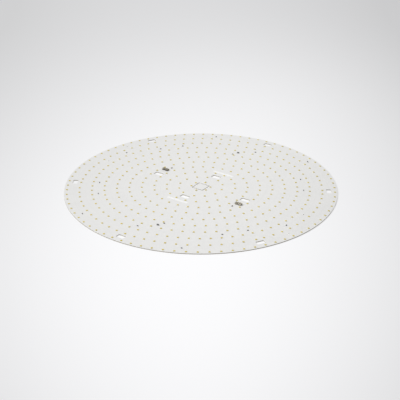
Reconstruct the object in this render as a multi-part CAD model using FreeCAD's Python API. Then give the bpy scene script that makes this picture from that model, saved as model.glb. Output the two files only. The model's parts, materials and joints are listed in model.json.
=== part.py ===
import FreeCAD, Part
import math
import os

# Round LED module: one thin round circuit board with LED packages in rings, bare-metal
# push-in wire terminals beside two wire slots, small surface-mount parts and two blank labels.
# Millimetres. The origin is the centre of the board's underside, +Z points out of the lit face,
# and +X runs through two of the rim slots. The layout repeats when turned by half a turn.

# Routed square at the centre, which can be broken out
CENTRE_SQUARE_SIDE = 25.0
CENTRE_SLIT_WIDTH = 1.5
CENTRE_BRIDGE_WIDTH = 1.2

# LED rings, from the centre outwards
LEDS_PER_RING = (6, 12, 20, 28, 34, 44, 52, 58, 68, 74, 80)
HALF_STEP_RINGS = (1, 2, 3, 5, 6, 8, 10)
CENTRE_MARGIN = 7.0
RING_PITCH = 25.0
RIM_MARGIN = 5.5
FIRST_RING_TURNS = (7.0, 6.0, -5.0)

# LEDs moved along their ring: ring, the lines they are near, how near, and how far they move
# away from the line in degrees
MOVED_LEDS = (
    (1, (0.0, 180.0), 16.0, 2.5),
    (9, (60.0, 120.0, 240.0, 300.0), 2.0, -1.0),
)

# LED package, square
LED_SIDE = 3.5
LED_HEIGHT = 0.8

# Board
BOARD_THICKNESS = 1.6

# Mounting slots between the two outermost rings, their length along the rim
RIM_SLOT_COUNT = 6
RIM_SLOT_LENGTH = 16.5
RIM_SLOT_WIDTH = 10.2

# Wire slots, their length along Y; each stands a little outside a ring of LEDs
WIRE_SLOT_LENGTH = 19.0
WIRE_SLOT_WIDTH = 10.8
SIDE_SLOT_RING = 1
SIDE_SLOT_FROM_RING = 10.7
END_SLOT_RING = 3
END_SLOT_FROM_RING = 11.5
SLOT_CORNER_RADIUS = 2.0

# Wire terminals: folded cages in two pairs beside each slot on the Y axis
WIRE_BEND_ROOM = 15.2
POLE_GAP = 0.95
CAGE_GAP = 0.25
CAGE_LENGTH = 5.5
CAGE_WIDTH = 3.3
CAGE_HEIGHT = 3.4
CAGE_SHEET = 0.35
CAGE_FOOT_LENGTH = 0.8
CAGE_FOOT_WIDTH = 2.0
CAGE_LIP_LENGTH = 0.6
CAGE_LIP_RISE = 0.35
RELEASE_WINDOW_FRONT = 2.0
RELEASE_WINDOW_BACK = 1.8
RELEASE_WINDOW_WIDTH = 1.5
SIDE_POST_LENGTH = 0.8
SIDE_WINDOW_SILL = 0.6
SIDE_WINDOW_HEIGHT = 2.2
WIRE_STOP_HEIGHT = 1.9
WIRE_STOP_CLEARANCE = 0.15

# Clamping leaf inside each cage
LEAF_THICKNESS = 0.25
LEAF_SIDE_CLEARANCE = 0.2
LEAF_START = 0.6
LEAF_FLAT_LENGTH = 1.2
LEAF_TIP_LENGTH = 0.6
LEAF_TIP_CLEARANCE = 0.6
LEAF_STOP_CLEARANCE = 0.65

# Blank labels outside the side slots
LABEL_LENGTH = 48.0
LABEL_WIDTH = 6.0
LABEL_THICKNESS = 0.12
LABEL_RING = 2
LABEL_FROM_RING = 6.4
LABEL_OFFSET = 3.6

# Small surface-mount parts: body length, width, height, and metal end length and height
DIODE = (2.7, 1.6, 1.1, 0.45, 0.25)
SUPPRESSOR = (4.3, 2.7, 2.1, 0.4, 0.5)
CAPACITOR = (2.4, 1.6, 1.5, 0.4, 1.5)
RESISTOR = (1.4, 1.25, 0.55, 0.3, 0.55)

# LEDs keep at least this far from a cut-out, terminal, label or small part
LED_CLEARANCE = 0.3

# Length by which a cutting shape passes each face that it cuts
OVERRUN = 1.0

ORIGIN = FreeCAD.Vector(0, 0, 0)
UP = FreeCAD.Vector(0, 0, 1)
HALF_TURN = 180.0
RING_COUNT = len(LEDS_PER_RING)
FIRST_RING_RADIUS = CENTRE_SQUARE_SIDE / 2 + CENTRE_MARGIN


def ring_radius(ring):
    """Radius of a ring of LED centres."""
    return FIRST_RING_RADIUS + RING_PITCH * ring


def gap_radius(ring):
    """Radius midway between a ring and the next one out."""
    return ring_radius(ring) + RING_PITCH / 2


BOARD_RADIUS = ring_radius(RING_COUNT - 1) + RIM_MARGIN
RIM_SLOT_RADIUS = gap_radius(RING_COUNT - 2)
SIDE_SLOT_X = ring_radius(SIDE_SLOT_RING) + SIDE_SLOT_FROM_RING
END_SLOT_Y = ring_radius(END_SLOT_RING) + END_SLOT_FROM_RING
LABEL_X = ring_radius(LABEL_RING) + LABEL_FROM_RING
CAGE_PITCH = CAGE_WIDTH + CAGE_GAP
POLE_PITCH = CAGE_PITCH + CAGE_WIDTH + POLE_GAP
CAGE_ENTRY_X = WIRE_SLOT_WIDTH / 2 + WIRE_BEND_ROOM

# Where the small parts stand on one half of the board: radius and angles.
# The other half has the same, turned by half a turn.
SMALL_PARTS = {
    "bypass_diodes": (DIODE, ((gap_radius(7), (0.0, 46.0, 60.0, 120.0, 134.0)),)),
    "rim_diodes": (DIODE, ((gap_radius(9), (27.2, 152.8)),)),
    "string_diodes": (DIODE, ((gap_radius(8), (78.8,)), (ring_radius(6) + 4.4, (11.6,)))),
    "surge_suppressors": (SUPPRESSOR, ((ring_radius(6) + 15.2, (9.0,)),)),
    "input_capacitors": (CAPACITOR, ((gap_radius(3), (69.7,)),)),
    "resistors": (
        RESISTOR,
        (
            (gap_radius(9), (73.8,)),
            (gap_radius(8), (92.8,)),
            (ring_radius(0) + 3.6, (9.0,)),
        ),
    ),
}


def block(length, width, height, z=0.0):
    """A box centred on the Z axis with its underside at z."""
    corner = FreeCAD.Vector(-length / 2, -width / 2, z)
    return Part.makeBox(length, width, height, corner)


def turned(shape, angle):
    """A copy of the shape, turned about the Z axis."""
    copy = shape.copy()
    copy.rotate(ORIGIN, UP, angle)
    return copy


def moved(shape, x, y, z=0.0):
    """A copy of the shape, moved without turning."""
    copy = shape.copy()
    copy.translate(FreeCAD.Vector(x, y, z))
    return copy


def at_angle(shape, radius, angle, z=0.0):
    """A copy whose own X axis points outwards at this radius and angle."""
    return turned(moved(shape, radius, 0, z), angle)


def through_slot(size_x, size_y):
    """Cutting shape of a slot with rounded corners, long enough to pass both faces."""
    radius = min(SLOT_CORNER_RADIUS, 0.45 * size_x, 0.45 * size_y)
    cutter = block(size_x, size_y, BOARD_THICKNESS + 2 * OVERRUN, -OVERRUN)
    upright = [e for e in cutter.Edges if abs(e.tangentAt(e.FirstParameter).z) > 0.5]
    return cutter.makeFillet(radius, upright)


def through_slit(start, end):
    """Cutting shape of a round-ended slit between two points."""
    depth = BOARD_THICKNESS + 2 * OVERRUN
    along = end.sub(start)
    middle = start.add(end).multiply(0.5)
    angle = math.degrees(math.atan2(along.y, along.x))
    straight = turned(block(along.Length, CENTRE_SLIT_WIDTH, depth, -OVERRUN), angle)
    cutter = moved(straight, middle.x, middle.y)
    for point in (start, end):
        foot = FreeCAD.Vector(point.x, point.y, -OVERRUN)
        cutter = cutter.fuse(Part.makeCylinder(CENTRE_SLIT_WIDTH / 2, depth, foot))
    return cutter


def centre_slits():
    """Four angled slits round the square at the centre, with a bridge on each side."""
    corner = CENTRE_SQUARE_SIDE / 2
    near_bridge = (CENTRE_BRIDGE_WIDTH + CENTRE_SLIT_WIDTH) / 2
    tip = FreeCAD.Vector(corner, corner, 0)
    along_x = through_slit(FreeCAD.Vector(near_bridge, corner, 0), tip)
    along_y = through_slit(FreeCAD.Vector(corner, near_bridge, 0), tip)
    angled = along_x.fuse(along_y)
    return [turned(angled, 90 * quarter) for quarter in range(4)]


def slot_places():
    """Every slot as its centre's radius and angle and its size outwards and along the ring."""
    places = []
    for i in range(RIM_SLOT_COUNT):
        angle = 360.0 * i / RIM_SLOT_COUNT
        places.append((RIM_SLOT_RADIUS, angle, RIM_SLOT_WIDTH, RIM_SLOT_LENGTH))
    for side in (0.0, HALF_TURN):
        places.append((SIDE_SLOT_X, side, WIRE_SLOT_WIDTH, WIRE_SLOT_LENGTH))
        places.append((END_SLOT_Y, side + 90.0, WIRE_SLOT_LENGTH, WIRE_SLOT_WIDTH))
    return places


def make_board():
    """The round board with its slots and the routed square outline."""
    board = Part.makeCylinder(BOARD_RADIUS, BOARD_THICKNESS)
    for radius, angle, outwards, across in slot_places():
        board = board.cut(at_angle(through_slot(outwards, across), radius, angle))
    for slit in centre_slits():
        board = board.cut(slit)
    return board


def cage_places():
    """Entry points of the cages on the first site, numbered along Y."""
    places = []
    for pole in (-0.5, 0.5):
        for cage in (-0.5, 0.5):
            places.append((CAGE_ENTRY_X, END_SLOT_Y + POLE_PITCH * pole + CAGE_PITCH * cage))
    return places


def lip(z_low, rise):
    """A flared lip at the mouth of a cage, rising or falling towards the wire."""
    width = CAGE_WIDTH - 2 * CAGE_SHEET
    profile = [
        FreeCAD.Vector(0, -width / 2, z_low),
        FreeCAD.Vector(0, -width / 2, z_low + CAGE_SHEET),
        FreeCAD.Vector(-CAGE_LIP_LENGTH, -width / 2, z_low + CAGE_SHEET + rise),
        FreeCAD.Vector(-CAGE_LIP_LENGTH, -width / 2, z_low + rise),
    ]
    face = Part.Face(Part.makePolygon(profile + profile[:1]))
    return face.extrude(FreeCAD.Vector(0, width, 0))


def make_cage():
    """Folded cage standing on z = 0, its mouth at x = 0 and its wire stop at the far end."""
    middle = CAGE_LENGTH / 2
    tube = moved(block(CAGE_LENGTH, CAGE_WIDTH, CAGE_HEIGHT), middle, 0)
    inside = block(
        CAGE_LENGTH + 2 * OVERRUN,
        CAGE_WIDTH - 2 * CAGE_SHEET,
        CAGE_HEIGHT - 2 * CAGE_SHEET,
        CAGE_SHEET,
    )
    cage = tube.cut(moved(inside, middle, 0))
    window_length = CAGE_LENGTH - RELEASE_WINDOW_FRONT - RELEASE_WINDOW_BACK
    window = block(window_length, RELEASE_WINDOW_WIDTH, CAGE_SHEET + 2 * OVERRUN)
    window_x = RELEASE_WINDOW_FRONT + window_length / 2
    cage = cage.cut(moved(window, window_x, 0, CAGE_HEIGHT - CAGE_SHEET - OVERRUN))
    side_length = CAGE_LENGTH - 2 * SIDE_POST_LENGTH
    side_windows = block(
        side_length, CAGE_WIDTH + 2 * OVERRUN, SIDE_WINDOW_HEIGHT, SIDE_WINDOW_SILL)
    cage = cage.cut(moved(side_windows, middle, 0))
    foot = block(CAGE_LENGTH + 2 * CAGE_FOOT_LENGTH, CAGE_FOOT_WIDTH, CAGE_SHEET)
    cage = cage.fuse(moved(foot, middle, 0))
    cage = cage.fuse(lip(CAGE_HEIGHT - CAGE_SHEET, CAGE_LIP_RISE))
    stop_width = CAGE_WIDTH - 2 * (CAGE_SHEET + WIRE_STOP_CLEARANCE)
    stop = block(CAGE_SHEET, stop_width, WIRE_STOP_HEIGHT)
    cage = cage.fuse(moved(stop, CAGE_LENGTH - CAGE_SHEET / 2, 0))
    return cage.removeSplitter()


def make_leaf():
    """Clamping leaf: flat against the roof, then sloping down to pinch the wire."""
    top = CAGE_HEIGHT - CAGE_SHEET
    low = CAGE_SHEET + LEAF_TIP_CLEARANCE
    width = CAGE_WIDTH - 2 * CAGE_SHEET - 2 * LEAF_SIDE_CLEARANCE
    bend = LEAF_START + LEAF_FLAT_LENGTH
    knee = CAGE_LENGTH - CAGE_SHEET - LEAF_STOP_CLEARANCE - LEAF_TIP_LENGTH
    upper = [
        (LEAF_START, top),
        (bend, top),
        (knee, low + LEAF_THICKNESS),
        (knee + LEAF_TIP_LENGTH, low + 2 * LEAF_THICKNESS),
    ]
    lower = [
        (knee + LEAF_TIP_LENGTH, low + LEAF_THICKNESS),
        (knee - LEAF_THICKNESS / 2, low),
        (bend - LEAF_THICKNESS / 2, top - LEAF_THICKNESS),
        (LEAF_START, top - LEAF_THICKNESS),
    ]
    outline = [FreeCAD.Vector(x, -width / 2, z) for x, z in upper + lower]
    face = Part.Face(Part.makePolygon(outline + outline[:1]))
    return face.extrude(FreeCAD.Vector(0, width, 0))


def make_small_part(size):
    """A two-pad part lying along the ring: a body between two metal ends."""
    length, width, height, end_length, end_height = size
    body = block(width, length, height)
    ends = block(width, length + 2 * end_length, end_height)
    return body.fuse(ends).removeSplitter()


def both_halves(angles):
    """The angles given for one half of the board, and the same half a turn on."""
    return list(angles) + [angle + HALF_TURN for angle in angles]


def small_part_places(node):
    """Radius and angle of every part in one of the groups of small parts."""
    places = []
    for radius, angles in SMALL_PARTS[node][1]:
        places.extend((radius, angle) for angle in both_halves(angles))
    return places


def keep_out(x, y, turn, size_x, size_y):
    """A rectangle given in a frame turned about the Z axis, that LEDs stay out of."""
    return {"x": x, "y": y, "turn": math.radians(turn), "size_x": size_x, "size_y": size_y}


def all_keep_outs():
    """The cut-outs, terminals, labels and small parts, as rectangles."""
    outline = CENTRE_SQUARE_SIDE + CENTRE_SLIT_WIDTH
    taken = [keep_out(0.0, 0.0, 0.0, outline, outline)]
    for radius, angle, outwards, across in slot_places():
        taken.append(keep_out(radius, 0.0, angle, outwards, across))
    for node, (size, _) in SMALL_PARTS.items():
        length = size[0] + 2 * size[3]
        for radius, angle in small_part_places(node):
            taken.append(keep_out(radius, 0.0, angle, size[1], length))
    cages_x = CAGE_ENTRY_X + CAGE_LENGTH / 2
    cages_long = CAGE_LENGTH + 2 * CAGE_FOOT_LENGTH
    cages_across = POLE_PITCH + CAGE_PITCH + CAGE_WIDTH
    for side in (0.0, HALF_TURN):
        taken.append(keep_out(cages_x, END_SLOT_Y, side, cages_long, cages_across))
        taken.append(keep_out(LABEL_X, -LABEL_OFFSET, side, LABEL_WIDTH, LABEL_LENGTH))
    return taken


def is_clear(x, y, taken):
    """Whether a LED centred here keeps its distance from every rectangle."""
    needed = math.hypot(LED_SIDE, LED_SIDE) / 2 + LED_CLEARANCE
    for area in taken:
        cos = math.cos(area["turn"])
        sin = math.sin(area["turn"])
        past_x = abs(x * cos + y * sin - area["x"]) - area["size_x"] / 2
        past_y = abs(y * cos - x * sin - area["y"]) - area["size_y"] / 2
        if math.hypot(max(past_x, 0.0), max(past_y, 0.0)) < needed:
            return False
    return True


def led_angle(ring, i):
    """Angle of one LED, with the small moves that make room near the centre and the slots."""
    count = LEDS_PER_RING[ring]
    half_step = 0.5 if ring in HALF_STEP_RINGS else 0.0
    angle = 360.0 * (i + half_step) / count
    if ring == 0:
        return angle + FIRST_RING_TURNS[i % len(FIRST_RING_TURNS)]
    for moved_ring, lines, reach, shift in MOVED_LEDS:
        for line in lines:
            past = (angle - line + HALF_TURN) % 360.0 - HALF_TURN
            if moved_ring == ring and abs(past) < reach:
                return angle + math.copysign(shift, past * shift)
    return angle


def make_led_ring(ring, taken):
    """The LED packages of one ring, each a solid of its own."""
    package = block(LED_SIDE, LED_SIDE, LED_HEIGHT)
    radius = ring_radius(ring)
    leds = []
    for i in range(LEDS_PER_RING[ring]):
        angle = led_angle(ring, i)
        x = radius * math.cos(math.radians(angle))
        y = radius * math.sin(math.radians(angle))
        if is_clear(x, y, taken):
            leds.append(at_angle(package, radius, angle, BOARD_THICKNESS))
    return leds


def export(node, solids):
    """Write one node, a single solid or a group of separate ones."""
    shape = solids[0] if len(solids) == 1 else Part.makeCompound(solids)
    shape.exportStep("parts/" + node + ".step")


os.makedirs("parts", exist_ok=True)

export("board", [make_board()])

keep_clear = all_keep_outs()
for ring in range(RING_COUNT):
    leds = make_led_ring(ring, keep_clear)
    print("ring", ring + 1, "LEDs", len(leds))
    export("led_ring_%02d" % (ring + 1), leds)

cage = make_cage()
leaf = make_leaf()
for side, turn in (("a", 0.0), ("b", HALF_TURN)):
    for number, (x, y) in enumerate(cage_places(), 1):
        name = "%s%d" % (side, number)
        export("terminal_cage_" + name, [turned(moved(cage, x, y, BOARD_THICKNESS), turn)])
        export("terminal_leaf_" + name, [turned(moved(leaf, x, y, BOARD_THICKNESS), turn)])
    label = block(LABEL_WIDTH, LABEL_LENGTH, LABEL_THICKNESS, BOARD_THICKNESS)
    export("label_" + side, [turned(moved(label, LABEL_X, -LABEL_OFFSET), turn)])

for node, (size, _) in SMALL_PARTS.items():
    small_part = make_small_part(size)
    copies = [at_angle(small_part, r, a, BOARD_THICKNESS) for r, a in small_part_places(node)]
    export(node, copies)
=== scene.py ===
import bmesh
import bpy
import functools
import json
import math
from mathutils import Matrix, Vector


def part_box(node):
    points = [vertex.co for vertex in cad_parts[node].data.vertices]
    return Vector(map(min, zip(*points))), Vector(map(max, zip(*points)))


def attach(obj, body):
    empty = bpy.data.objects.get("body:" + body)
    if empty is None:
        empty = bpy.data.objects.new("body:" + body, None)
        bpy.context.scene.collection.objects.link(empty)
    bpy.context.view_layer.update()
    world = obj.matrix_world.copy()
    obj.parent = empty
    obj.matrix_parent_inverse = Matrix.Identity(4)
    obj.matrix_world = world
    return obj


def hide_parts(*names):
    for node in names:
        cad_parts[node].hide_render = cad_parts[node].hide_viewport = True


# Round LED module lying on a plain pale table: a white circuit board with rings of LED
# packages, bare-metal wire terminals, small surface-mount parts and two blank labels.

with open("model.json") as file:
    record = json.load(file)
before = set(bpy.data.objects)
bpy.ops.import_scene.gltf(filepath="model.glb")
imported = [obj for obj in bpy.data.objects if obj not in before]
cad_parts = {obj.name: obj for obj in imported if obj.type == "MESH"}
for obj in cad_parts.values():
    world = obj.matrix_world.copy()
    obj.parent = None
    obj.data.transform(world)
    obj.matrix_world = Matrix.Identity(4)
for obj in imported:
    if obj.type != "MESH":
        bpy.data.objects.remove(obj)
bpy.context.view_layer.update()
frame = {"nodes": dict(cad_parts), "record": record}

MM = 0.001
BOARD_LOW, BOARD_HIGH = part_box("board")
TOP = BOARD_HIGH.z
BOARD_RADIUS = -BOARD_LOW.x
MOUNTS = {mount["name"]: mount["pos_m"] for mount in frame["record"]["mounts"]}

# Picking faces and edges: two places closer than NEAR are one, and a face looks along an
# axis when that axis has more than FACING of its normal
X_AXIS, Y_AXIS, Z_AXIS = 0, 1, 2
NEAR = 0.01 * MM
FACING = 0.9

# Angles in degrees past which edges are broken, on straight and on round pieces, and up to
# which faces are shaded smooth
SHARP_ANGLE = 40.0
ROUND_SHARP_ANGLE = 60.0
SMOOTH_ANGLE = 35.0

# Circuit board and the cut-outs in it. A face belongs to the cut edge when no more than
# EDGE_TILT of its normal stands upright
BOARD_FACETS = 384
RIM_SLOT = (10.2 * MM, 16.5 * MM)
WIRE_SLOT = (10.8 * MM, 19.0 * MM)
SLOT_CORNER = 2.0 * MM
CENTRE_SQUARE = 25.0 * MM
CENTRE_SLIT = 1.5 * MM
CENTRE_BRIDGE = 1.2 * MM
SLIT_ROUNDING = 0.48 * CENTRE_SLIT
CUTTER_HEIGHT = 6.0 * MM
CORNER_STEPS = 5
BOARD_EDGE_BREAK = 0.06 * MM
EDGE_TILT = 0.3

# Gaps between the copper areas, which show as faint grooves in the solder mask. A ring's
# number of LEDs is kept in a colour as a share of COUNT_SCALE
COPPER_GAP = 0.35 * MM
COPPER_EDGE = 0.12 * MM
COPPER_DEPTH = 0.03 * MM
COPPER_GAP_TONE = (0.755, 0.752, 0.735, 1.0)
COUNT_SCALE = 100.0

# Cut edge of the laminate, and how far below the top the solder mask over it ends
LAMINATE_DARK = (0.42, 0.385, 0.32, 1.0)
LAMINATE_PALE = (0.62, 0.585, 0.50, 1.0)
LAMINATE_PATCH = 1.2 * MM
LAMINATE_LAYERS = 12.0
LAMINATE_DEPTH = 0.03 * MM
LAMINATE_ROUGHNESS = 0.75
MASK_EDGE_TONE = (0.74, 0.73, 0.70, 1.0)
MASK_THIN, MASK_FULL = 0.09 * MM, 0.05 * MM

# Solder fillet: how far it reaches, and what is left of its width and height at its end
SOLDER_REACH = 0.3 * MM
SOLDER_END_WIDTH = 0.8
SOLDER_END_HEIGHT = 0.15

# LED package, its leads at the two ends along Y before it is turned to its ring
LED_SIDE = 3.5 * MM
LED_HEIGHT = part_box("led_ring_01")[1].z - TOP
LED_CUT_CORNER = 0.4 * MM
LED_RIM = 0.11 * MM
LED_DISH = 0.08 * MM
LED_DRAFT = 0.98
LED_LEAD_LENGTH = 0.1 * MM
LED_LEAD_WIDTH = 0.75 * LED_SIDE
LED_LEAD_HEIGHT = 0.2 * MM
LED_SOLDER_WIDTH = 0.78 * LED_SIDE
LED_SOLDER_HEIGHT = 0.18 * MM

# Wire terminal cage, the wire going in along +X, with its lip and wire stop given as reach
# or width and height
CAGE_LENGTH = 5.5 * MM
CAGE_WIDTH = 3.3 * MM
CAGE_HEIGHT = 3.4 * MM
CAGE_SHEET = 0.35 * MM
CAGE_FOLD = 0.55 * MM
CAGE_EDGE_BREAK = 0.04 * MM
FOLD_STEPS = 4
FOOT_LENGTH = 0.8 * MM
FOOT_WIDTH = 2.0 * MM
LIP = (0.6 * MM, 0.35 * MM)
ROOF_WINDOW_X = (2.0 * MM, 3.7 * MM)
ROOF_WINDOW_Y = (-0.75 * MM, 0.75 * MM)
SIDE_WINDOW_X = (0.8 * MM, 4.7 * MM)
SIDE_WINDOW_Z = (0.6 * MM, 2.8 * MM)
WIRE_STOP = (2.3 * MM, 1.9 * MM)
STOP_CORNER = 0.4 * MM
STOP_CORNER_STEPS = 3

# Clamping leaf in its cage: the line that it follows in X and Z, and the flat it starts from
LEAF_SHEET = 0.25 * MM
LEAF_WIDTH = 2.2 * MM
LEAF_LINE = (
    (0.6 * MM, 2.92 * MM), (1.8 * MM, 2.92 * MM), (3.9 * MM, 1.08 * MM), (4.5 * MM, 1.33 * MM))
LEAF_START = 0.2 * MM
LEAF_BEND = 0.35 * MM
LEAF_EDGE_BREAK = 0.03 * MM

# Small parts: body length, width, height, metal end length and, where moulded, its height
DIODE = (2.7 * MM, 1.6 * MM, 1.1 * MM, 0.45 * MM, 0.25 * MM)
SUPPRESSOR = (4.3 * MM, 2.7 * MM, 2.1 * MM, 0.4 * MM, 0.5 * MM)
CAPACITOR = (2.4 * MM, 1.6 * MM, 1.5 * MM, 0.4 * MM)
RESISTOR = (1.4 * MM, 1.25 * MM, 0.55 * MM, 0.3 * MM)
PART_EDGE_BREAK = 0.05 * MM
PART_EDGE_STEPS = 2

# Moulded bodies, in shares of the body: height of the parting line, what the draft leaves of
# width and length at the top and the bottom, and the width and the start of the pale band
PARTING_HEIGHT = 0.45
TOP_DRAFT = (0.86, 0.92, 1)
BOTTOM_DRAFT = (0.9, 0.94, 1)
BAND_WIDTH = 0.14
DIODE_BAND = 0.26
SUPPRESSOR_BAND = 0.28

# Leads of moulded bodies: how far they are tucked under, and in shares of the body's width
# or their own height, their width, tip and solder
LEAD_TUCK = 0.2 * MM
LEAD_EDGE_BREAK = 0.04 * MM
LEAD_WIDTH = 0.72
LEAD_TIP = 0.7
LEAD_SOLDER_WIDTH = 0.85
LEAD_SOLDER_HEIGHT = 0.6

# Capped ceramic parts, in shares of the part: the bare ceramic, how far the caps stand out,
# and their solder, with its reach as a share of the usual one
CERAMIC_CORE = 0.96
CAP_RISE = 0.02
CAP_SOLDER_REACH = 0.8
CAP_SOLDER_WIDTH = 1.05
CAP_SOLDER_HEIGHT = 0.55

LABEL_CORNER = 0.8 * MM
LABEL_EDGE_BREAK = 0.03 * MM

# Camera: where it stands, the bearing of its line of sight and how far it looks down
CAMERA_PLACE = (-1.5439, -1.0778, 0.9147)
SIGHT_BEARING = 34.97
SIGHT_DOWN = 26.618
CAMERA_LENS = 93.11
CAMERA_SENSOR = 36.0
CAMERA_REACH = 50.0

# Table top: its side, how far it lies under the board, its plain tone, the tint of its own
# light, how much of its level the room's light gives, and its least and greatest level
TABLE_SIDE = 24.0
TABLE_DROP = 0.1 * MM
TABLE_TONE = (0.75, 0.75, 0.76, 1.0)
TABLE_TINT = (1.0, 1.0, 1.019, 1.0)
TABLE_LIT_SHARE = 0.30
TABLE_LEAST, TABLE_MOST = 0.68, 1.0

# Bright patch of the table, along and across the line of sight: its middle, its reach, what
# it adds and how it fades, and the level that it is added to, with its rise per metre
SPOT_DEPTH, SPOT_ASIDE = -0.854, 0.005
SPOT_LONG, SPOT_WIDE = 2.481, 1.684
SPOT_LEVEL = 2.352
SPOT_FADE = 0.75
BASE_LEVEL, BASE_RISE = -0.977, 0.541

# Light: level all round, then a far lamp that gives the shadows and a long one overhead
WORLD_LEVEL = 0.335
KEY_BEARING = 120.0
KEY_HEIGHT = 45.0
KEY_DISTANCE = 8.0
KEY_SIZE = 3.2
KEY_WATTS = 416.0
OVERHEAD_PLACE = (0.132, 0.038, 0.608)
OVERHEAD_BEARING = 15.0
OVERHEAD_SIZE = (1.4, 0.3)
OVERHEAD_WATTS = 1.89


# Making and selecting


def deselect_all():
    """Leave nothing selected."""
    bpy.ops.object.select_all(action="DESELECT")


def pick(piece):
    """Select one piece alone and make it the active one."""
    deselect_all()
    piece.select_set(True)
    bpy.context.view_layer.objects.active = piece


def settle(piece):
    """Put a piece's place, turn and scale into its mesh."""
    pick(piece)
    bpy.ops.object.transform_apply(location=True, rotation=True, scale=True)


def start_block(name, size, centre):
    """A block of this size, ready to be shaped."""
    deselect_all()
    bpy.ops.mesh.primitive_cube_add(size=1.0, location=centre)
    block = bpy.context.object
    block.name = name
    block.scale = size
    settle(block)
    return block


def edit(piece):
    """Go into edit mode on one piece."""
    pick(piece)
    bpy.ops.object.mode_set(mode="EDIT")


def leave_edit():
    """Go back to object mode."""
    bpy.ops.object.mode_set(mode="OBJECT")


def select_faces(piece, chosen):
    """In edit mode, select only the faces whose centre and normal pass the test."""
    bpy.ops.mesh.select_mode(type="FACE")
    bpy.ops.mesh.select_all(action="DESELECT")
    shape = bmesh.from_edit_mesh(piece.data)
    for face in shape.faces:
        face.select_set(chosen(face.calc_center_median(), face.normal))
    bmesh.update_edit_mesh(piece.data)


def select_edges(piece, chosen):
    """In edit mode, select only the edges whose two ends pass the test."""
    bpy.ops.mesh.select_mode(type="EDGE")
    bpy.ops.mesh.select_all(action="DESELECT")
    shape = bmesh.from_edit_mesh(piece.data)
    for edge in shape.edges:
        edge.select_set(chosen(edge.verts[0].co, edge.verts[1].co))
    bmesh.update_edit_mesh(piece.data)


def any_face(centre, normal):
    """Passes every face."""
    return True


def looks_up(centre, normal):
    """Whether a face looks up."""
    return normal.z > FACING


def looks_down(centre, normal):
    """Whether a face looks down."""
    return normal.z < -FACING


def looks_aside(centre, normal):
    """Whether a face looks along Y, either way."""
    return abs(normal.y) > FACING


def is_upright(a, b):
    """Whether an edge stands upright."""
    return abs(a.x - b.x) + abs(a.y - b.y) < NEAR and abs(a.z - b.z) > NEAR


def both_at(a, b, axis, place):
    """Whether both ends of an edge lie at this place along an axis."""
    return abs(a[axis] - place) + abs(b[axis] - place) < NEAR


def slice_faces(piece, chosen, axis, places):
    """In edit mode, cut the faces that pass the test at these places along an axis."""
    way = [0.0, 0.0, 0.0]
    way[axis] = 1.0
    for place in places:
        select_faces(piece, chosen)
        bpy.ops.mesh.bisect(plane_co=[place * share for share in way], plane_no=way)


def cut_window(piece, chosen, *sides):
    """In edit mode, cut a window in the faces that pass the test.

    Each side is an axis and the two places on it between which the window lies.
    """
    for axis, places in sides:
        slice_faces(piece, chosen, axis, places)
    select_faces(
        piece,
        lambda centre, normal: chosen(centre, normal)
        and all(start < centre[axis] < end for axis, (start, end) in sides))
    bpy.ops.mesh.delete(type="FACE")


def apply_modifier(piece, modifier):
    """Apply one modifier of a piece."""
    pick(piece)
    bpy.ops.object.modifier_apply(modifier=modifier.name)


def break_edges(piece, width, segments=1, angle=SHARP_ANGLE):
    """Bevel the edges of a piece that are sharper than this angle."""
    bevel = piece.modifiers.new("edges", "BEVEL")
    bevel.width = width
    bevel.segments = segments
    bevel.limit_method = "ANGLE"
    bevel.angle_limit = math.radians(angle)
    apply_modifier(piece, bevel)


def smooth_by_angle(piece):
    """Smooth shading across shallow angles only."""
    pick(piece)
    bpy.ops.object.shade_smooth_by_angle(angle=math.radians(SMOOTH_ANGLE))


def name_piece(piece, name):
    """Give a piece and its mesh one name."""
    piece.name = name
    piece.data.name = name
    return piece


def join_pieces(pieces, name):
    """Join pieces into the first of them, under this name."""
    deselect_all()
    for piece in pieces:
        piece.select_set(True)
    bpy.context.view_layer.objects.active = pieces[0]
    if len(pieces) > 1:
        bpy.ops.object.join()
    return name_piece(pieces[0], name)


def standing_at(x, y, z, turn):
    """The move that turns a model about Z and then stands it at this place."""
    return Matrix.Translation((x, y, z)) @ Matrix.Rotation(turn, 4, "Z")


def copy_to(model, place):
    """A copy of a model with its own mesh, put in this place."""
    copy = model.copy()
    copy.data = model.data.copy()
    bpy.context.scene.collection.objects.link(copy)
    copy.data.transform(place)
    return copy


def copies_of(model, places, name):
    """Copies of a model at all these places, joined as one piece."""
    return join_pieces([copy_to(model, place) for place in places], name)


def discard(model):
    """Take away a model once its copies are made."""
    bpy.data.objects.remove(model)


def cad_nodes(start):
    """The names of the CAD nodes that start with these letters, in order."""
    return sorted(name for name in frame["nodes"] if name.startswith(start))


def part_places(node):
    """Where each separate part of a CAD node stands, and which way outwards is for it."""
    shape = bmesh.new()
    shape.from_mesh(frame["nodes"][node].data)
    bmesh.ops.remove_doubles(shape, verts=shape.verts, dist=NEAR / 10)
    reached = set()
    places = []
    for first in shape.verts:
        if first in reached:
            continue
        reached.add(first)
        part = [first]
        for vert in part:
            for edge in vert.link_edges:
                other = edge.other_vert(vert)
                if other not in reached:
                    reached.add(other)
                    part.append(other)
        centre = sum((vert.co for vert in part), Vector()) / len(part)
        outwards = math.atan2(centre.y, centre.x)
        places.append(standing_at(centre.x, centre.y, TOP, outwards))
    shape.free()
    return places


# Finishes


def add_sockets(group, in_out, kind, *names):
    """Give a node group inputs or outputs of one kind."""
    for name in names:
        group.interface.new_socket(name, in_out=in_out, socket_type="NodeSocket" + kind)


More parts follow.
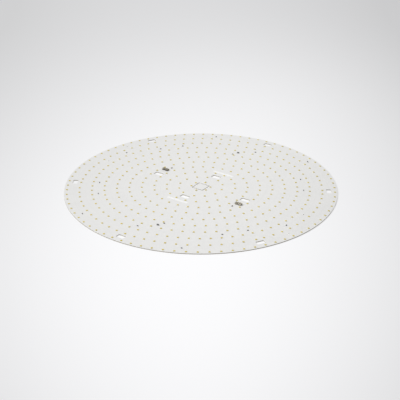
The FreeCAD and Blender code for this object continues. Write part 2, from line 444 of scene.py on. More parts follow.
def sized_noise(group, given, detail):
    """Noise over the object, its patches as large as the group's Size input says."""
    nodes, link = group.nodes, group.links.new
    place = nodes.new("ShaderNodeTexCoord")
    frequency = nodes.new("ShaderNodeMath")
    frequency.operation = "DIVIDE"
    frequency.inputs[0].default_value = 1.0
    noise = nodes.new("ShaderNodeTexNoise")
    noise.inputs["Detail"].default_value = detail
    link(given.outputs["Size"], frequency.inputs[1])
    link(place.outputs["Object"], noise.inputs["Vector"])
    link(frequency.outputs[0], noise.inputs["Scale"])
    return noise.outputs["Fac"]


def mottle_group():
    """Two tones and two roughnesses that drift into each other over the surface."""
    group = bpy.data.node_groups.new("mottle", "ShaderNodeTree")
    add_sockets(group, "INPUT", "Color", "Tone", "Other tone")
    add_sockets(group, "INPUT", "Float", "Size", "Smoother", "Rougher")
    add_sockets(group, "OUTPUT", "Color", "Color")
    add_sockets(group, "OUTPUT", "Float", "Roughness")
    nodes, link = group.nodes, group.links.new
    given = nodes.new("NodeGroupInput")
    result = nodes.new("NodeGroupOutput")
    spread = nodes.new("ShaderNodeMapRange")
    spread.inputs["From Min"].default_value = 0.3
    spread.inputs["From Max"].default_value = 0.7
    tones = nodes.new("ShaderNodeMix")
    tones.data_type = "RGBA"
    gloss = nodes.new("ShaderNodeMapRange")
    link(sized_noise(group, given, 4.0), spread.inputs["Value"])
    link(spread.outputs["Result"], tones.inputs["Factor"])
    link(given.outputs["Tone"], tones.inputs["A"])
    link(given.outputs["Other tone"], tones.inputs["B"])
    link(spread.outputs["Result"], gloss.inputs["Value"])
    link(given.outputs["Smoother"], gloss.inputs["To Min"])
    link(given.outputs["Rougher"], gloss.inputs["To Max"])
    link(tones.outputs["Result"], result.inputs["Color"])
    link(gloss.outputs["Result"], result.inputs["Roughness"])
    return group


def grain_group():
    """Fine uneven relief of a surface."""
    group = bpy.data.node_groups.new("fine_grain", "ShaderNodeTree")
    add_sockets(group, "INPUT", "Float", "Size", "Depth")
    add_sockets(group, "OUTPUT", "Vector", "Normal")
    nodes, link = group.nodes, group.links.new
    given = nodes.new("NodeGroupInput")
    result = nodes.new("NodeGroupOutput")
    relief = nodes.new("ShaderNodeBump")
    link(given.outputs["Depth"], relief.inputs["Distance"])
    link(sized_noise(group, given, 3.0), relief.inputs["Height"])
    link(relief.outputs["Normal"], result.inputs["Normal"])
    return group


MOTTLE = mottle_group()
FINE_GRAIN = grain_group()


def new_material(name):
    """A new material, its nodes, the function that links them and its Principled BSDF."""
    material = bpy.data.materials.new(name)
    material.use_nodes = True
    nodes = material.node_tree.nodes
    return material, nodes, material.node_tree.links.new, nodes["Principled BSDF"]


def place_group(material, group, values):
    """Put a node group into a material with its own values."""
    node = material.node_tree.nodes.new("ShaderNodeGroup")
    node.node_tree = group
    for name, value in values.items():
        node.inputs[name].default_value = value
    return node


def finish_material(name, tone, other_tone, size, smoother, rougher, grain=None, metal=0.0):
    """A surface finish whose tone and roughness drift between two values.

    Size is that of the patches, and grain, where given, the size and depth of a fine relief.
    """
    material, _, link, shader = new_material(name)
    shader.inputs["Metallic"].default_value = metal
    mottle = place_group(material, MOTTLE, {
        "Tone": (*tone, 1.0),
        "Other tone": (*other_tone, 1.0),
        "Size": size,
        "Smoother": smoother,
        "Rougher": rougher,
    })
    link(mottle.outputs["Color"], shader.inputs["Base Color"])
    link(mottle.outputs["Roughness"], shader.inputs["Roughness"])
    if grain:
        relief = place_group(material, FINE_GRAIN, {"Size": grain[0], "Depth": grain[1]})
        link(relief.outputs["Normal"], shader.inputs["Normal"])
    return material


def calculate(material, operation, a, b=0.0):
    """A Math node between two sockets or numbers."""
    node = material.node_tree.nodes.new("ShaderNodeMath")
    node.operation = operation
    for socket, value in zip(node.inputs, (a, b)):
        if isinstance(value, float):
            socket.default_value = value
        else:
            material.node_tree.links.new(value, socket)
    return node.outputs[0]


def ring_steps():
    """For each ring of LEDs its radius, its number of LEDs and where in a step the first is."""
    rings = []
    for node in cad_nodes("led_ring"):
        places = [place.translation for place in part_places(node)]
        count = len(places)
        step = 2 * math.pi / count
        nearest = min(abs(math.atan2(place.y, place.x)) for place in places)
        rings.append((places[0].xy.length, count, 0.5 if nearest > step / 4 else 0.0))
    return rings


def ring_ramp(nodes, rings):
    """A stepped ramp over the rings, red for the number of LEDs, green for the first's place."""
    ramp = nodes.new("ShaderNodeValToRGB")
    ramp.color_ramp.interpolation = "CONSTANT"
    stops = ramp.color_ramp.elements
    for number, (_, count, start) in enumerate(rings):
        stop = stops[0] if number == 0 else stops.new(number / len(rings))
        stop.color = (count / COUNT_SCALE, start, 0.0, 1.0)
    stops.remove(stops[-1])
    return ramp


def copper_gap_distance(material, place):
    """How far a place on the board is from the nearest gap between the copper areas.

    One gap runs round midway between two rings, and one crosses each ring at every LED.
    """
    nodes, link = material.node_tree.nodes, material.node_tree.links.new
    calc = functools.partial(calculate, material)
    rings = ring_steps()
    pitch = (rings[-1][0] - rings[0][0]) / (len(rings) - 1)
    split = nodes.new("ShaderNodeSeparateXYZ")
    link(place, split.inputs["Vector"])
    x, y = split.outputs["X"], split.outputs["Y"]
    radius = calc("SQRT", calc("ADD", calc("MULTIPLY", x, x), calc("MULTIPLY", y, y)))
    along = calc("DIVIDE", calc("SUBTRACT", radius, rings[0][0]), pitch)
    past_middle = calc("SUBTRACT", calc("FRACT", along), 0.5)
    from_circle = calc("MULTIPLY", calc("ABSOLUTE", past_middle), pitch)
    nearest_ring = calc("FLOOR", calc("ADD", along, 0.5))
    ramp = ring_ramp(nodes, rings)
    link(calc("DIVIDE", calc("ADD", nearest_ring, 0.5), float(len(rings))), ramp.inputs["Fac"])
    shares = nodes.new("ShaderNodeSeparateColor")
    link(ramp.outputs["Color"], shares.inputs["Color"])
    count = calc("ROUND", calc("MULTIPLY", shares.outputs["Red"], COUNT_SCALE))
    turn = calc("DIVIDE", calc("ARCTAN2", y, x), 2 * math.pi)
    steps = calc("ADD", calc("MULTIPLY", turn, count), calc("ADD", shares.outputs["Green"], 0.5))
    past_led = calc("ABSOLUTE", calc("SUBTRACT", calc("FRACT", steps), 0.5))
    arc = calc("DIVIDE", calc("MULTIPLY", radius, 2 * math.pi), count)
    from_led = calc("MULTIPLY", past_led, arc)
    inside_first = calc("LESS_THAN", radius, rings[0][0] + pitch / 2)
    from_line = calc("MAXIMUM", from_led, inside_first)
    return calc("MINIMUM", from_circle, from_line)


def mask_material():
    """White solder mask, with faint grooves where the copper areas under it are parted."""
    material = finish_material(
        "mask_white", (0.80, 0.797, 0.785), (0.775, 0.773, 0.764), 30 * MM, 0.38, 0.46,
        grain=(0.8 * MM, 0.004 * MM))
    nodes, link = material.node_tree.nodes, material.node_tree.links.new
    shader = nodes["Principled BSDF"]
    tone = shader.inputs["Base Color"].links[0].from_socket
    grain = shader.inputs["Normal"].links[0].from_socket
    place = nodes.new("ShaderNodeTexCoord")
    covered = nodes.new("ShaderNodeMapRange")
    covered.interpolation_type = "SMOOTHSTEP"
    covered.inputs["From Min"].default_value = COPPER_GAP / 2 - COPPER_EDGE / 2
    covered.inputs["From Max"].default_value = COPPER_GAP / 2 + COPPER_EDGE / 2
    link(copper_gap_distance(material, place.outputs["Object"]), covered.inputs["Value"])
    tones = nodes.new("ShaderNodeMix")
    tones.data_type = "RGBA"
    tones.inputs["A"].default_value = COPPER_GAP_TONE
    link(covered.outputs["Result"], tones.inputs["Factor"])
    link(tone, tones.inputs["B"])
    link(tones.outputs["Result"], shader.inputs["Base Color"])
    relief = nodes.new("ShaderNodeBump")
    relief.inputs["Distance"].default_value = COPPER_DEPTH
    link(covered.outputs["Result"], relief.inputs["Height"])
    link(grain, relief.inputs["Normal"])
    link(relief.outputs["Normal"], shader.inputs["Normal"])
    return material


def laminate_edge_material():
    """Cut edge of the glass-fibre board: thin layers of cloth in tan resin under white mask."""
    material, nodes, link, shader = new_material("laminate_edge")
    place = nodes.new("ShaderNodeTexCoord")
    stretch = nodes.new("ShaderNodeMapping")
    stretch.inputs["Scale"].default_value = (1.0, 1.0, LAMINATE_LAYERS)
    noise = nodes.new("ShaderNodeTexNoise")
    noise.inputs["Scale"].default_value = 1.0 / LAMINATE_PATCH
    noise.inputs["Detail"].default_value = 4.0
    tones = nodes.new("ShaderNodeValToRGB")
    dark, pale = tones.color_ramp.elements
    dark.position, dark.color = 0.35, LAMINATE_DARK
    pale.position, pale.color = 0.68, LAMINATE_PALE
    split = nodes.new("ShaderNodeSeparateXYZ")
    mask_line = nodes.new("ShaderNodeMapRange")
    mask_line.inputs["From Min"].default_value = TOP - MASK_THIN
    mask_line.inputs["From Max"].default_value = TOP - MASK_FULL
    covered = nodes.new("ShaderNodeMix")
    covered.data_type = "RGBA"
    covered.inputs["B"].default_value = MASK_EDGE_TONE
    relief = nodes.new("ShaderNodeBump")
    relief.inputs["Distance"].default_value = LAMINATE_DEPTH
    link(place.outputs["Object"], stretch.inputs["Vector"])
    link(stretch.outputs["Vector"], noise.inputs["Vector"])
    link(noise.outputs["Fac"], tones.inputs["Fac"])
    link(place.outputs["Object"], split.inputs["Vector"])
    link(split.outputs["Z"], mask_line.inputs["Value"])
    link(mask_line.outputs["Result"], covered.inputs["Factor"])
    link(tones.outputs["Color"], covered.inputs["A"])
    link(covered.outputs["Result"], shader.inputs["Base Color"])
    link(noise.outputs["Fac"], relief.inputs["Height"])
    link(relief.outputs["Normal"], shader.inputs["Normal"])
    shader.inputs["Roughness"].default_value = LAMINATE_ROUGHNESS
    return material


MASK_WHITE = mask_material()
BARE_LAMINATE = finish_material(
    "bare_laminate", (0.62, 0.58, 0.44), (0.56, 0.52, 0.39), 6 * MM, 0.5, 0.65,
    grain=(0.6 * MM, 0.01 * MM))
LAMINATE_EDGE = laminate_edge_material()
LED_HOUSING = finish_material(
    "led_housing", (0.80, 0.77, 0.42), (0.76, 0.73, 0.38), 2 * MM, 0.35, 0.5)
PHOSPHOR = finish_material(
    "led_phosphor", (0.67, 0.47, 0.012), (0.63, 0.44, 0.010), 1.2 * MM, 0.28, 0.4,
    grain=(0.15 * MM, 0.01 * MM))
SOLDER = finish_material(
    "solder", (0.62, 0.61, 0.58), (0.50, 0.49, 0.46), 0.8 * MM, 0.25, 0.45,
    grain=(0.4 * MM, 0.02 * MM), metal=1.0)
CAGE_TIN = finish_material(
    "cage_tin", (0.66, 0.61, 0.50), (0.55, 0.50, 0.40), 1.5 * MM, 0.28, 0.42,
    grain=(0.3 * MM, 0.006 * MM), metal=1.0)
# Painted shade: the inside faces of each cage sheet are near black, standing in for the shade
# inside the cage
CAGE_INSIDE_SHADE = finish_material(
    "cage_inside_painted_shade", (0.030, 0.024, 0.017), (0.022, 0.018, 0.013), 1.5 * MM, 0.4, 0.55,
    grain=(0.3 * MM, 0.006 * MM), metal=1.0)
# Spring steel of the clamping leaves, its tone darker than the steel's own: painted shade of the
# inside of the cage
LEAF_STEEL_AND_SHADE = finish_material(
    "leaf_steel", (0.13, 0.12, 0.105), (0.09, 0.08, 0.07), 1.5 * MM, 0.3, 0.45,
    grain=(0.3 * MM, 0.006 * MM), metal=1.0)
BLACK_RESIN = finish_material(
    "black_resin", (0.022, 0.022, 0.023), (0.034, 0.033, 0.032), 0.6 * MM, 0.45, 0.62,
    grain=(0.08 * MM, 0.008 * MM))
SUPPRESSOR_RESIN = finish_material(
    "suppressor_resin", (0.130, 0.130, 0.128), (0.165, 0.163, 0.160), 0.6 * MM, 0.45, 0.62,
    grain=(0.08 * MM, 0.008 * MM))
BAND_GREY = finish_material(
    "cathode_band", (0.42, 0.42, 0.41), (0.34, 0.34, 0.33), 0.5 * MM, 0.45, 0.6)
CERAMIC_GREY = finish_material(
    "capacitor_ceramic", (0.23, 0.19, 0.14), (0.28, 0.23, 0.18), 0.8 * MM, 0.4, 0.55,
    grain=(0.1 * MM, 0.006 * MM))
ALUMINA = finish_material(
    "resistor_alumina", (0.72, 0.72, 0.70), (0.66, 0.66, 0.64), 0.5 * MM, 0.45, 0.6)
LABEL_FILM = finish_material(
    "label_film", (0.925, 0.925, 0.92), (0.905, 0.905, 0.902), 8 * MM, 0.25, 0.34,
    grain=(1.5 * MM, 0.004 * MM))


def wear_materials(piece, *materials):
    """Give a piece these materials and no others."""
    piece.data.materials.clear()
    for material in materials:
        piece.data.materials.append(material)


def paint_faces(piece, slot, chosen):
    """Give one of the piece's materials to the faces whose centre and normal pass the test."""
    for face in piece.data.polygons:
        if chosen(face.center, face.normal):
            face.material_index = slot


# Circuit board


def slot_cutter(x, y, outwards, across, turn):
    """Cutting block of a slot with rounded corners."""
    cutter = start_block("slot_cutter", (outwards, across, CUTTER_HEIGHT), (0, 0, 0))
    edit(cutter)
    select_edges(cutter, is_upright)
    bpy.ops.mesh.bevel(offset=SLOT_CORNER, segments=CORNER_STEPS, affect="EDGES")
    leave_edit()
    cutter.data.transform(standing_at(x, y, 0, turn))
    return cutter


def corner_slit_cutter(turn):
    """Cutting block of one angled slit with round ends, at one corner of the centre square."""
    corner = CENTRE_SQUARE / 2
    run = corner - CENTRE_SLIT / 2 - CENTRE_BRIDGE / 2
    cutter = start_block(
        "slit_cutter", (CENTRE_SLIT, CENTRE_SLIT, CUTTER_HEIGHT), (corner, corner, 0))
    edit(cutter)
    select_faces(cutter, lambda centre, normal: normal.x < -FACING)
    bpy.ops.mesh.extrude_region_move(TRANSFORM_OT_translate={"value": (-run, 0, 0)})
    select_faces(
        cutter,
        lambda centre, normal: normal.y < -FACING and centre.x > corner - CENTRE_SLIT / 4)
    bpy.ops.mesh.extrude_region_move(TRANSFORM_OT_translate={"value": (0, -run, 0)})
    inner = corner - CENTRE_SLIT / 2 - NEAR
    outer = corner + CENTRE_SLIT / 2 - NEAR

    def is_round(a, b):
        at_end = min(a.x, a.y) < CENTRE_BRIDGE / 2 + NEAR
        return is_upright(a, b) and (at_end or min(a.x, a.y) > outer) and max(a.x, a.y) > inner

    select_edges(cutter, is_round)
    bpy.ops.mesh.bevel(offset=SLIT_ROUNDING, segments=CORNER_STEPS, affect="EDGES")
    leave_edit()
    cutter.data.transform(Matrix.Rotation(turn, 4, "Z"))
    return cutter


def make_board():
    """The round board with its slots and the routed square, its edges slightly broken."""
    deselect_all()
    bpy.ops.mesh.primitive_cylinder_add(
        vertices=BOARD_FACETS, radius=BOARD_RADIUS, depth=TOP, location=(0, 0, TOP / 2))
    board = bpy.context.object
    settle(board)
    cutters = []
    for name, (x, y, _) in MOUNTS.items():
        if name.startswith("rim_slot"):
            cutters.append(slot_cutter(x, y, *RIM_SLOT, math.atan2(y, x)))
        elif name.startswith(("side_wire_slot", "end_wire_slot")):
            cutters.append(slot_cutter(x, y, *WIRE_SLOT, 0.0))
    for quarter in range(4):
        cutters.append(corner_slit_cutter(math.radians(90 * quarter)))
    cutter = join_pieces(cutters, "cutters")
    cut = board.modifiers.new("cut_outs", "BOOLEAN")
    cut.operation = "DIFFERENCE"
    cut.solver = "EXACT"
    cut.object = cutter
    apply_modifier(board, cut)
    discard(cutter)
    break_edges(board, BOARD_EDGE_BREAK, angle=ROUND_SHARP_ANGLE)
    wear_materials(board, MASK_WHITE, LAMINATE_EDGE, BARE_LAMINATE)
    paint_faces(board, 0, lambda centre, normal: normal.z > EDGE_TILT)
    paint_faces(board, 1, lambda centre, normal: abs(normal.z) <= EDGE_TILT)
    paint_faces(board, 2, lambda centre, normal: normal.z < -EDGE_TILT)
    smooth_by_angle(board)
    name_piece(board, "circuit_board")
    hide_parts("board")
    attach(board, "root")


make_board()


# LED packages


def solder_fillet(length, width, height, y, side):
    """A wedge of solder that runs down from a part's end to its pad."""
    fillet = start_block("solder", (width, length, height), (0, y + side * length / 2, height / 2))
    edit(fillet)
    far = y + side * length
    select_edges(
        fillet, lambda a, b: both_at(a, b, Y_AXIS, far) and min(a.z, b.z) > height / 2)
    bpy.ops.transform.translate(value=(0, 0, -(1 - SOLDER_END_HEIGHT) * height))
    bpy.ops.transform.resize(
        value=(SOLDER_END_WIDTH, 1, 1), center_override=(0, far, SOLDER_END_HEIGHT * height))
    leave_edit()
    wear_materials(fillet, SOLDER)
    return fillet


def model_led():
    """One LED package: pale housing with a cut corner, yellow window, leads and solder."""
    body_length = LED_SIDE - 2 * LED_LEAD_LENGTH
    dish_floor = LED_HEIGHT - LED_DISH
    led = start_block("led", (LED_SIDE, body_length, LED_HEIGHT), (0, 0, LED_HEIGHT / 2))
    edit(led)
    select_faces(led, looks_down)
    bpy.ops.mesh.delete(type="FACE")
    select_edges(led, lambda a, b: is_upright(a, b) and a.x > 0 and a.y > 0)
    bpy.ops.mesh.bevel(offset=LED_CUT_CORNER, segments=1, affect="EDGES")
    select_faces(led, looks_up)
    bpy.ops.transform.resize(
        value=(LED_DRAFT, LED_DRAFT, 1), center_override=(0, 0, LED_HEIGHT))
    bpy.ops.mesh.inset(thickness=LED_RIM)
    bpy.ops.mesh.extrude_region_move(TRANSFORM_OT_translate={"value": (0, 0, -LED_DISH)})
    bpy.ops.transform.resize(
        value=(LED_DRAFT, LED_DRAFT, 1), center_override=(0, 0, dish_floor))
    leave_edit()
    wear_materials(led, LED_HOUSING, PHOSPHOR)
    paint_faces(
        led, 1,
        lambda centre, normal: looks_up(centre, normal) and centre.z < dish_floor + LED_DISH / 2)
    parts = [led]
    for side in (-1, 1):
        lead = start_block(
            "lead", (LED_LEAD_WIDTH, LED_LEAD_LENGTH, LED_LEAD_HEIGHT),
            (0, side * (body_length + LED_LEAD_LENGTH) / 2, LED_LEAD_HEIGHT / 2))
        wear_materials(lead, SOLDER)
        parts.append(lead)
        parts.append(solder_fillet(
            SOLDER_REACH, LED_SOLDER_WIDTH, LED_SOLDER_HEIGHT, side * LED_SIDE / 2, side))
    return join_pieces(parts, "led_model")


def make_led_rings():
    """Every ring of LED packages, each ring one piece."""
    led = model_led()
    for node in cad_nodes("led_ring"):
        ring = copies_of(led, part_places(node), node.replace("led_ring", "led_packages"))
        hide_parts(node)
        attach(ring, "root")
    discard(led)


make_led_rings()


# Wire terminals


def fold_cage():
    """The cage's folded sheet, its mouth at x = 0, with windows, flared lip and feet."""
    middle = CAGE_LENGTH / 2
    cage = start_block(
        "cage", (CAGE_LENGTH, CAGE_WIDTH, CAGE_HEIGHT), (middle, 0, CAGE_HEIGHT / 2))
    edit(cage)
    select_faces(cage, lambda centre, normal: abs(normal.x) > FACING)
    bpy.ops.mesh.delete(type="FACE")
    select_edges(cage, lambda a, b: abs(a.x - b.x) > middle)
    bpy.ops.mesh.bevel(offset=CAGE_FOLD, segments=FOLD_STEPS, affect="EDGES")
    cut_window(cage, looks_up, (X_AXIS, ROOF_WINDOW_X), (Y_AXIS, ROOF_WINDOW_Y))
    cut_window(cage, looks_aside, (X_AXIS, SIDE_WINDOW_X), (Z_AXIS, SIDE_WINDOW_Z))
    select_edges(
        cage, lambda a, b: max(a.x, b.x) < NEAR and min(a.z, b.z) > CAGE_HEIGHT - NEAR)
    bpy.ops.mesh.extrude_region_move(TRANSFORM_OT_translate={"value": (-LIP[0], 0, LIP[1])})
    slice_faces(cage, looks_down, Y_AXIS, (-FOOT_WIDTH / 2, FOOT_WIDTH / 2))
    for x, way in ((0.0, -1), (CAGE_LENGTH, 1)):
        select_edges(
            cage,
            lambda a, b: both_at(a, b, X_AXIS, x) and max(a.z, b.z) < NEAR
            and abs(a.y + b.y) < FOOT_WIDTH / 2)
        bpy.ops.mesh.extrude_region_move(
            TRANSFORM_OT_translate={"value": (way * FOOT_LENGTH, 0, 0)})
    bpy.ops.mesh.select_all(action="SELECT")
    bpy.ops.mesh.normals_make_consistent(inside=False)
    leave_edit()
    # The inside faces take the second material, the near-black painted shade of the cage's inside
    wear_materials(cage, CAGE_TIN, CAGE_INSIDE_SHADE)
    sheet = cage.modifiers.new("sheet", "SOLIDIFY")
    sheet.thickness = CAGE_SHEET
    sheet.offset = -1.0
    sheet.use_even_offset = True
    sheet.material_offset = 1
    apply_modifier(cage, sheet)
    return cage


def model_cage():
    """One terminal cage with the wire stop that stands up at its back."""
    cage = fold_cage()
    stop_width, stop_height = WIRE_STOP
    stop = start_block(
        "stop", (CAGE_SHEET, stop_width, stop_height - CAGE_SHEET),
        (CAGE_LENGTH - CAGE_SHEET / 2, 0, (stop_height + CAGE_SHEET) / 2))
    edit(stop)
    select_edges(stop, lambda a, b: abs(a.x - b.x) > CAGE_SHEET / 2 and a.z > stop_height / 2)
    bpy.ops.mesh.bevel(offset=STOP_CORNER, segments=STOP_CORNER_STEPS, affect="EDGES")
    leave_edit()
    wear_materials(stop, CAGE_TIN)
    cage = join_pieces([cage, stop], "cage_model")
    break_edges(cage, CAGE_EDGE_BREAK)
    smooth_by_angle(cage)
    return cage


def model_leaf():
    """Clamping leaf: flat under the roof, then sloping down to pinch the wire."""
    deselect_all()
    x, z = LEAF_LINE[0]
    bpy.ops.mesh.primitive_plane_add(size=1.0, location=(0, 0, 0))
    leaf = bpy.context.object
    leaf.scale = (LEAF_START, LEAF_WIDTH, 1)
    leaf.location = (x + LEAF_START / 2, 0, z)
    settle(leaf)
    edit(leaf)
    end = Vector((x + LEAF_START, 0, z))
    for x, z in LEAF_LINE[1:]:
        select_edges(leaf, lambda a, b: both_at(a, b, X_AXIS, end.x))
        step = Vector((x, 0, z)) - end
        bpy.ops.mesh.extrude_region_move(TRANSFORM_OT_translate={"value": step[:]})
        end += step
    bends = [x for x, z in LEAF_LINE[1:-1]]
    select_edges(leaf, lambda a, b: any(both_at(a, b, X_AXIS, bend) for bend in bends))
    bpy.ops.mesh.bevel(offset=LEAF_BEND, segments=FOLD_STEPS, affect="EDGES")
    bpy.ops.mesh.select_all(action="SELECT")
    bpy.ops.mesh.normals_make_consistent(inside=False)
    leave_edit()
    sheet = leaf.modifiers.new("sheet", "SOLIDIFY")
    sheet.thickness = LEAF_SHEET
    sheet.offset = 0.0
    apply_modifier(leaf, sheet)
    break_edges(leaf, LEAF_EDGE_BREAK)
    # The leaf's steel is painted dark, as shade inside the cage
    wear_materials(leaf, LEAF_STEEL_AND_SHADE)
    smooth_by_angle(leaf)
    return leaf


def make_terminals():
    """The eight cages and their leaves, in the places that the frame gives them."""
    models = (("cage", model_cage(), "cage_metal"), ("leaf", model_leaf(), "leaf_steel"))
    for node in cad_nodes("terminal_cage"):
        tag = node.split("_")[-1]
        low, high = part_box(node)
        turned_round = tag.startswith("b")
        turn = math.pi if turned_round else 0.0
        mouth = high.x - FOOT_LENGTH if turned_round else low.x + FOOT_LENGTH
        place = standing_at(mouth, (low.y + high.y) / 2, TOP, turn)
        for word, model, finish in models:
            piece = name_piece(copy_to(model, place), "wire_%s_%s" % (word, tag))
            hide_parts("terminal_%s_%s" % (word, tag))
            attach(piece, "root")
    for _, model, _ in models:
        discard(model)


make_terminals()


# Small surface-mount parts, each lying along Y before it is turned to its ring


def moulded_part(size, band_start, resin):
    """A moulded body with a parting line, folded leads, solder and a pale cathode band."""
    length, width, height, lead_length, lead_height = size
    band = (band_start * length, (band_start + BAND_WIDTH) * length)
    body = start_block("body", (width, length, height), (0, 0, height / 2))
    edit(body)
    slice_faces(body, any_face, Z_AXIS, (PARTING_HEIGHT * height,))
    select_faces(body, looks_up)
    bpy.ops.transform.resize(value=TOP_DRAFT, center_override=(0, 0, height))
    select_faces(body, looks_down)
    bpy.ops.transform.resize(value=BOTTOM_DRAFT, center_override=(0, 0, 0))
    slice_faces(body, any_face, Y_AXIS, band)
    leave_edit()
    break_edges(body, PART_EDGE_BREAK, segments=PART_EDGE_STEPS)
    wear_materials(body, resin, BAND_GREY)
    paint_faces(
        body, 1,
        lambda centre, normal: looks_up(centre, normal) and band[0] < centre.y < band[1])
    parts = [body]
    for side in (-1, 1):
        end = side * length / 2
        tip = end + side * lead_length
        lead = start_block(
            "lead", (LEAD_WIDTH * width, lead_length + LEAD_TUCK, lead_height),
            (0, end + side * (lead_length - LEAD_TUCK) / 2, lead_height / 2))
        edit(lead)
        select_faces(lead, lambda centre, normal: normal.y * side > FACING)
        bpy.ops.transform.resize(value=(1, 1, LEAD_TIP), center_override=(0, tip, 0))
        leave_edit()
        break_edges(lead, LEAD_EDGE_BREAK)
        wear_materials(lead, SOLDER)
        parts.append(lead)
        parts.append(solder_fillet(
            SOLDER_REACH, LEAD_SOLDER_WIDTH * width, LEAD_SOLDER_HEIGHT * lead_height, tip, side))
    model = join_pieces(parts, "moulded_part")
    smooth_by_angle(model)
    return model


def capped_part(size, body_material, top_material):
    """A ceramic block with wrapped metal ends and solder."""
    length, width, height, cap = size
    whole = length + 2 * cap
    block = start_block(
        "ceramic", (CERAMIC_CORE * width, whole, CERAMIC_CORE * height), (0, 0, height / 2))
    edit(block)
    slice_faces(block, any_face, Y_AXIS, (-length / 2, length / 2))
    select_faces(
        block,
        lambda centre, normal: abs(centre.y) > length / 2 and not looks_aside(centre, normal))
    bpy.ops.mesh.extrude_region_shrink_fatten(
        TRANSFORM_OT_shrink_fatten={"value": CAP_RISE * height})
    leave_edit()
    break_edges(block, PART_EDGE_BREAK, segments=PART_EDGE_STEPS)
    wear_materials(block, body_material, SOLDER, top_material)
    paint_faces(block, 1, lambda centre, normal: abs(centre.y) > length / 2 - NEAR)
    paint_faces(
        block, 2,
        lambda centre, normal: looks_up(centre, normal) and abs(centre.y) < length / 2 - 2 * NEAR)
    parts = [block]
    for side in (-1, 1):
        parts.append(solder_fillet(
            CAP_SOLDER_REACH * SOLDER_REACH, CAP_SOLDER_WIDTH * width,
            CAP_SOLDER_HEIGHT * height, side * whole / 2, side))
    model = join_pieces(parts, "capped_part")
    smooth_by_angle(model)
    return model


def make_small_parts():
    """All groups of small parts, each group one piece."""
    models = (
        (moulded_part(DIODE, DIODE_BAND, BLACK_RESIN), "part_black",
         ("bypass_diodes", "rim_diodes", "string_diodes")),
        (moulded_part(SUPPRESSOR, SUPPRESSOR_BAND, SUPPRESSOR_RESIN), "part_black",
         ("surge_suppressors",)),
        (capped_part(CAPACITOR, CERAMIC_GREY, CERAMIC_GREY), "part_grey",
         ("input_capacitors",)),
        (capped_part(RESISTOR, ALUMINA, BLACK_RESIN), "part_black",
         ("resistors",)),
    )
    for model, finish, nodes in models:
        for node in nodes:
            group = copies_of(model, part_places(node), "fitted_" + node)
            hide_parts(node)
            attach(group, "root")
        discard(model)


make_small_parts()


# Labels


def make_labels():
    """Two blank film labels with rounded corners."""
    for side in "ab":
        low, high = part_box("label_" + side)
        label = start_block("film_" + side, high - low, (low + high) / 2)
        edit(label)
        select_edges(label, is_upright)
        bpy.ops.mesh.bevel(offset=LABEL_CORNER, segments=CORNER_STEPS, affect="EDGES")
        leave_edit()
        break_edges(label, LABEL_EDGE_BREAK, angle=ROUND_SHARP_ANGLE)
        wear_materials(label, LABEL_FILM)
        name_piece(label, "film_label_" + side)
        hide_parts("label_" + side)
        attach(label, "root")


make_labels()


# Table, light and camera


def table_level(material):
    """Level of the table: greatest a little nearer the camera than the module, less round that."""
    nodes, link = material.node_tree.nodes, material.node_tree.links.new
    calc = functools.partial(calculate, material)
    place = nodes.new("ShaderNodeTexCoord")
    along_sight = nodes.new("ShaderNodeMapping")
    along_sight.vector_type = "POINT"
    along_sight.inputs["Rotation"].default_value = (0, 0, -math.radians(SIGHT_BEARING))
    split = nodes.new("ShaderNodeSeparateXYZ")
    link(place.outputs["Object"], along_sight.inputs["Vector"])
    link(along_sight.outputs["Vector"], split.inputs["Vector"])
    depth = calc("DIVIDE", calc("SUBTRACT", split.outputs["X"], SPOT_DEPTH), SPOT_LONG)
    aside = calc("DIVIDE", calc("SUBTRACT", split.outputs["Y"], SPOT_ASIDE), SPOT_WIDE)
    squared = calc("ADD", calc("MULTIPLY", depth, depth), calc("MULTIPLY", aside, aside))
    spot = calc("EXPONENT", calc("MULTIPLY", calc("POWER", squared, SPOT_FADE), -1.0))
    base = calc("ADD", calc("MULTIPLY", split.outputs["X"], BASE_RISE), BASE_LEVEL)
    level = calc("ADD", calc("MULTIPLY", spot, SPOT_LEVEL), base)
    return calc("MINIMUM", calc("MAXIMUM", level, TABLE_LEAST), TABLE_MOST)


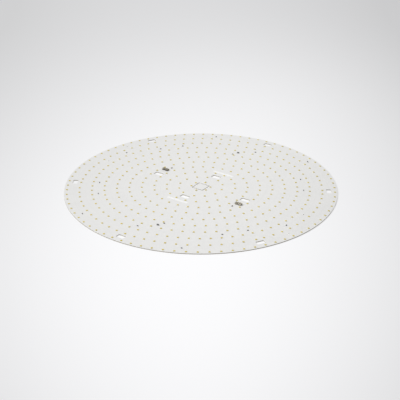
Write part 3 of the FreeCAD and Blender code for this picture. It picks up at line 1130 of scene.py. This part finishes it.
def table_material():
    """Pale table, lit in part by the room and in part bright by itself.

    The camera, reflections and clear materials see that. To the pieces it is a plain tone.
    """
    material, nodes, link, principled = new_material("pale_table")
    nodes.remove(principled)
    calc = functools.partial(calculate, material)
    seen = nodes.new("ShaderNodeLightPath")
    shown = calc("ADD", seen.outputs["Is Camera Ray"], seen.outputs["Is Glossy Ray"])
    shown = calc("MINIMUM", calc("ADD", shown, seen.outputs["Is Transmission Ray"]), 1.0)
    lit = nodes.new("ShaderNodeBsdfDiffuse")
    lit.inputs["Color"].default_value = (TABLE_LIT_SHARE, TABLE_LIT_SHARE, TABLE_LIT_SHARE, 1.0)
    glow = nodes.new("ShaderNodeEmission")
    glow.inputs["Color"].default_value = TABLE_TINT
    link(calc("SUBTRACT", table_level(material), TABLE_LIT_SHARE), glow.inputs["Strength"])
    both = nodes.new("ShaderNodeAddShader")
    link(lit.outputs[0], both.inputs[0])
    link(glow.outputs[0], both.inputs[1])
    plain = nodes.new("ShaderNodeBsdfDiffuse")
    plain.inputs["Color"].default_value = TABLE_TONE
    mix = nodes.new("ShaderNodeMixShader")
    link(shown, mix.inputs[0])
    link(plain.outputs[0], mix.inputs[1])
    link(both.outputs[0], mix.inputs[2])
    link(mix.outputs[0], nodes["Material Output"].inputs["Surface"])
    return material


def make_table():
    """The flat table top that the module lies on."""
    deselect_all()
    bpy.ops.mesh.primitive_plane_add(size=TABLE_SIDE, location=(0, 0, -TABLE_DROP))
    table = bpy.context.object
    settle(table)
    table.name = "table_top"
    wear_materials(table, table_material())


def add_lamp(name, place, size, turn, watts):
    """A rectangular lamp at this place, turned this way."""
    deselect_all()
    bpy.ops.object.light_add(type="AREA", location=place)
    lamp = bpy.context.object
    lamp.name = name
    lamp.data.shape = "RECTANGLE"
    lamp.data.size, lamp.data.size_y = size
    lamp.data.energy = watts
    lamp.rotation_euler = turn


def light_studio():
    """Even light from all round, a far lamp at one side and a long lamp overhead."""
    world = bpy.data.worlds.new("studio")
    world.use_nodes = True
    background = world.node_tree.nodes["Background"]
    background.inputs["Color"].default_value = (1.0, 1.0, 1.0, 1.0)
    background.inputs["Strength"].default_value = WORLD_LEVEL
    bpy.context.scene.world = world
    bearing, height = math.radians(KEY_BEARING), math.radians(KEY_HEIGHT)
    place = KEY_DISTANCE * Vector((
        math.cos(height) * math.cos(bearing),
        math.cos(height) * math.sin(bearing),
        math.sin(height)))
    towards_board = (-place).to_track_quat("-Z", "Y").to_euler()
    add_lamp("key_lamp", place, (KEY_SIZE, KEY_SIZE), towards_board, KEY_WATTS)
    straight_down = (0.0, 0.0, math.radians(OVERHEAD_BEARING))
    add_lamp("overhead_lamp", OVERHEAD_PLACE, OVERHEAD_SIZE, straight_down, OVERHEAD_WATTS)


def place_camera():
    """The camera at the photograph's distance, height and angle."""
    deselect_all()
    bpy.ops.object.camera_add(
        location=CAMERA_PLACE,
        rotation=(
            math.radians(90.0 - SIGHT_DOWN), 0.0, math.radians(SIGHT_BEARING - 90.0)))
    camera = bpy.context.object
    camera.data.lens = CAMERA_LENS
    camera.data.sensor_width = CAMERA_SENSOR
    camera.data.clip_end = CAMERA_REACH
    bpy.context.scene.camera = camera


make_table()
light_studio()
place_camera()
bpy.context.scene.view_settings.view_transform = "Standard"
